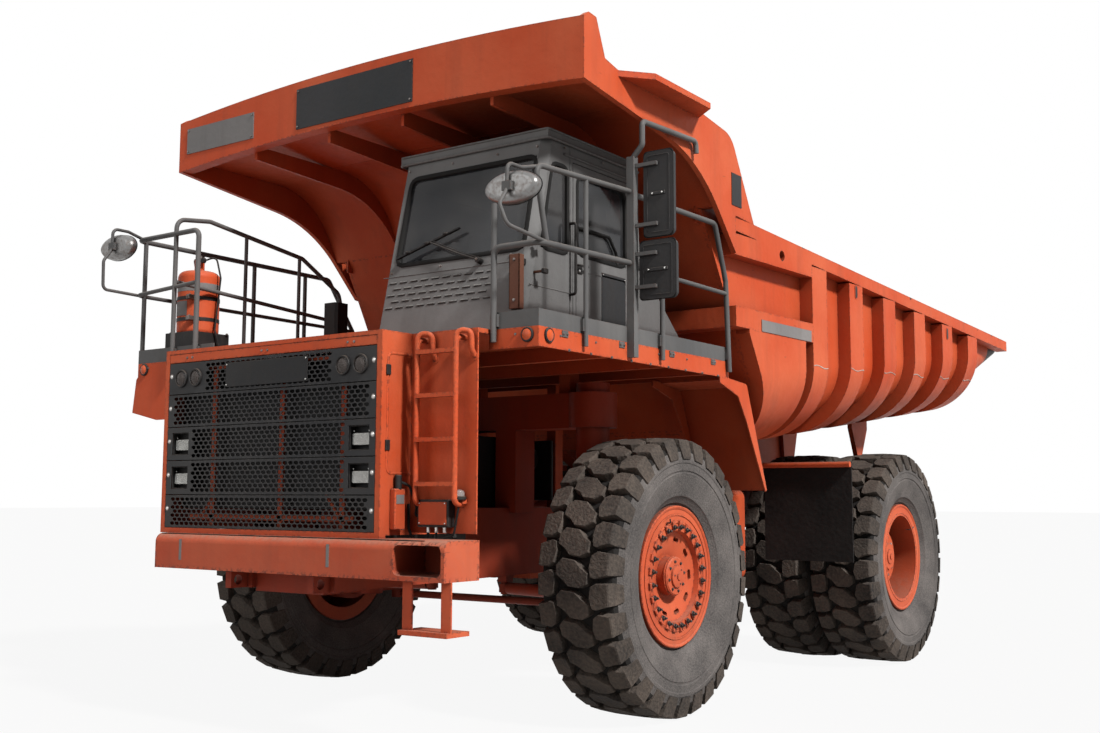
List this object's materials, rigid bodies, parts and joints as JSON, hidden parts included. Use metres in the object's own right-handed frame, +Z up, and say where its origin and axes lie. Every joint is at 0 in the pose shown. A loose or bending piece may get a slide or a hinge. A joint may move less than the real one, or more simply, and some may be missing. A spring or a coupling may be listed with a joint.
{
  "type": "mining dump truck",
  "caption": "Rigid-frame mining dump truck: ribbed tipping body with canopy over an offset cab, two-stage hoists, steered front wheels, twin rear wheels.",
  "frame": {"origin": "on the ground, under the middle of the overall box", "axes": "+Z up, +Y rearwards along the truck, +X to the truck's left, where the cab is"},
  "size_m": [4.9852, 9.69, 5.03],
  "materials": {
    "orange_paint": "satin, dusty",
    "gray_paint": "satin",
    "dark_paint": "matt",
    "tyre": "matt",
    "rubber": "matt",
    "glass": "clear",
    "lamp_glass": "clear",
    "chrome_rod": "polished",
    "interior": "matt"
  },
  "bodies": {
    "chassis": {"main_frame": "dark_paint", "suspension_struts": "dark_paint", "rear_axle": "dark_paint", "engine_block": "dark_paint", "driveline": "dark_paint", "hydraulic_tank": "orange_paint", "fuel_tank": "orange_paint", "mudflaps": "rubber", "front_bumper": "orange_paint", "engine_cowl": "orange_paint", "radiator_grille": "dark_paint", "headlamps": "lamp_glass", "radiator": "dark_paint", "boarding_ladder": "gray_paint", "deck": "orange_paint", "front_fenders": "orange_paint", "suppressant_tank": "orange_paint", "relay_box": "gray_paint", "cab_shell": "gray_paint", "cab_glass": "glass", "cab_interior": "interior", "guard_rails": "gray_paint", "mirrors": "gray_paint"},
    "cab_door": {"cab_door": "gray_paint", "door_glass": "glass"},
    "dump_body": {"dump_tub": "orange_paint", "dump_front_wall": "orange_paint", "dump_stringers": "orange_paint", "rock_ejectors": "orange_paint", "dump_ribs": "orange_paint", "dump_side_rails": "orange_paint", "dump_canopy": "orange_paint"},
    "hoist_barrels": {"hoist_barrels": "orange_paint"},
    "hoist_stages": {"hoist_stages": "chrome_rod"},
    "hoist_rods": {"hoist_rods": "chrome_rod"},
    "knuckle_left": {"knuckle_left": "dark_paint"},
    "knuckle_right": {"knuckle_right": "dark_paint"},
    "front_wheel_left": {"front_tyre_left": "tyre", "front_rim_left": "orange_paint"},
    "front_wheel_right": {"front_tyre_right": "tyre", "front_rim_right": "orange_paint"},
    "tie_rod": {"tie_rod": "dark_paint"},
    "steering_barrel_left": {"steering_barrel_left": "dark_paint"},
    "steering_barrel_right": {"steering_barrel_right": "dark_paint"},
    "steering_rod_left": {"steering_rod_left": "chrome_rod"},
    "steering_rod_right": {"steering_rod_right": "chrome_rod"},
    "rear_wheel_left": {"rear_tyres_left": "tyre", "rear_rims_left": "orange_paint"},
    "rear_wheel_right": {"rear_tyres_right": "tyre", "rear_rims_right": "orange_paint"}
  },
  "joints": [
    {"name": "steer_left", "type": "hinge", "parent": "chassis", "child": "knuckle_left", "pos_m": [1.24, -2.405, 1.055], "axis": [0, 0, 1], "range_deg": [-37, 37]},
    {"name": "steer_right", "type": "hinge", "parent": "chassis", "child": "knuckle_right", "pos_m": [-1.24, -2.405, 1.055], "axis": [0, 0, 1], "range_deg": [-37, 37]},
    {"name": "tie_rod_turn", "type": "hinge", "parent": "knuckle_left", "child": "tie_rod", "pos_m": [1.24, -1.975, 0.754], "axis": [0, 0, 1], "range_deg": [-37, 37]},
    {"name": "ram_swing_left", "type": "hinge", "parent": "chassis", "child": "steering_barrel_left", "pos_m": [0.4, -2.455, 0.9], "axis": [0, 0, 1], "range_deg": [-2.15, 2.15]},
    {"name": "ram_slide_left", "type": "slide", "parent": "steering_barrel_left", "child": "steering_rod_left", "axis": [0.9754, -0.2206, 0], "range_m": [-0.14238, 0.14238]},
    {"name": "front_wheel_spin_left", "type": "hinge", "parent": "knuckle_left", "child": "front_wheel_left", "pos_m": [1.757, -2.405, 1.055], "axis": [1, 0, 0], "continuous": true},
    {"name": "rear_wheel_spin_left", "type": "hinge", "parent": "chassis", "child": "rear_wheel_left", "pos_m": [1.6035, 1.785, 1.055], "axis": [1, 0, 0], "continuous": true},
    {"name": "ram_swing_right", "type": "hinge", "parent": "chassis", "child": "steering_barrel_right", "pos_m": [-0.4, -2.455, 0.9], "axis": [0, 0, 1], "range_deg": [-2.15, 2.15]},
    {"name": "ram_slide_right", "type": "slide", "parent": "steering_barrel_right", "child": "steering_rod_right", "axis": [-0.9754, -0.2206, 0], "range_m": [-0.14238, 0.14238]},
    {"name": "front_wheel_spin_right", "type": "hinge", "parent": "knuckle_right", "child": "front_wheel_right", "pos_m": [-1.757, -2.405, 1.055], "axis": [1, 0, 0], "continuous": true},
    {"name": "rear_wheel_spin_right", "type": "hinge", "parent": "chassis", "child": "rear_wheel_right", "pos_m": [-1.6035, 1.785, 1.055], "axis": [1, 0, 0], "continuous": true},
    {"name": "dump_tilt", "type": "hinge", "parent": "chassis", "child": "dump_body", "pos_m": [0, 2.745, 2], "axis": [-1, 0, 0], "range_deg": [0, 50]},
    {"name": "hoist_swing", "type": "hinge", "parent": "chassis", "child": "hoist_barrels", "pos_m": [0, 0.795, 0.9], "axis": [-1, 0, 0], "range_deg": [0, 22.46]},
    {"name": "hoist_stage_slide", "type": "slide", "parent": "hoist_barrels", "child": "hoist_stages", "axis": [0, -0.1618, 0.9868], "range_m": [0, 0.83205]},
    {"name": "hoist_rod_slide", "type": "slide", "parent": "hoist_stages", "child": "hoist_rods", "axis": [0, -0.1618, 0.9868], "range_m": [0, 0.83205]},
    {"name": "door_swing", "type": "hinge", "parent": "chassis", "child": "cab_door", "pos_m": [1.74, -2.613, 3.435], "axis": [0, 0, 1], "range_deg": [0, 25]}
  ],
  "couplings": [
    {"joint": "steer_right", "follows": "steer_left", "ratio": 1},
    {"joint": "tie_rod_turn", "follows": "steer_left", "ratio": -1},
    {"joint": "ram_swing_left", "follows": "steer_left", "ratio": 0.058},
    {"joint": "ram_swing_right", "follows": "steer_left", "ratio": 0.058},
    {"joint": "ram_slide_left", "follows": "steer_left", "m_per_rad": 0.22046},
    {"joint": "ram_slide_right", "follows": "steer_left", "m_per_rad": -0.22046},
    {"joint": "hoist_swing", "follows": "dump_tilt", "ratio": 0.44925},
    {"joint": "hoist_stage_slide", "follows": "dump_tilt", "m_per_rad": 0.95336},
    {"joint": "hoist_rod_slide", "follows": "dump_tilt", "m_per_rad": 0.95336}
  ]
}
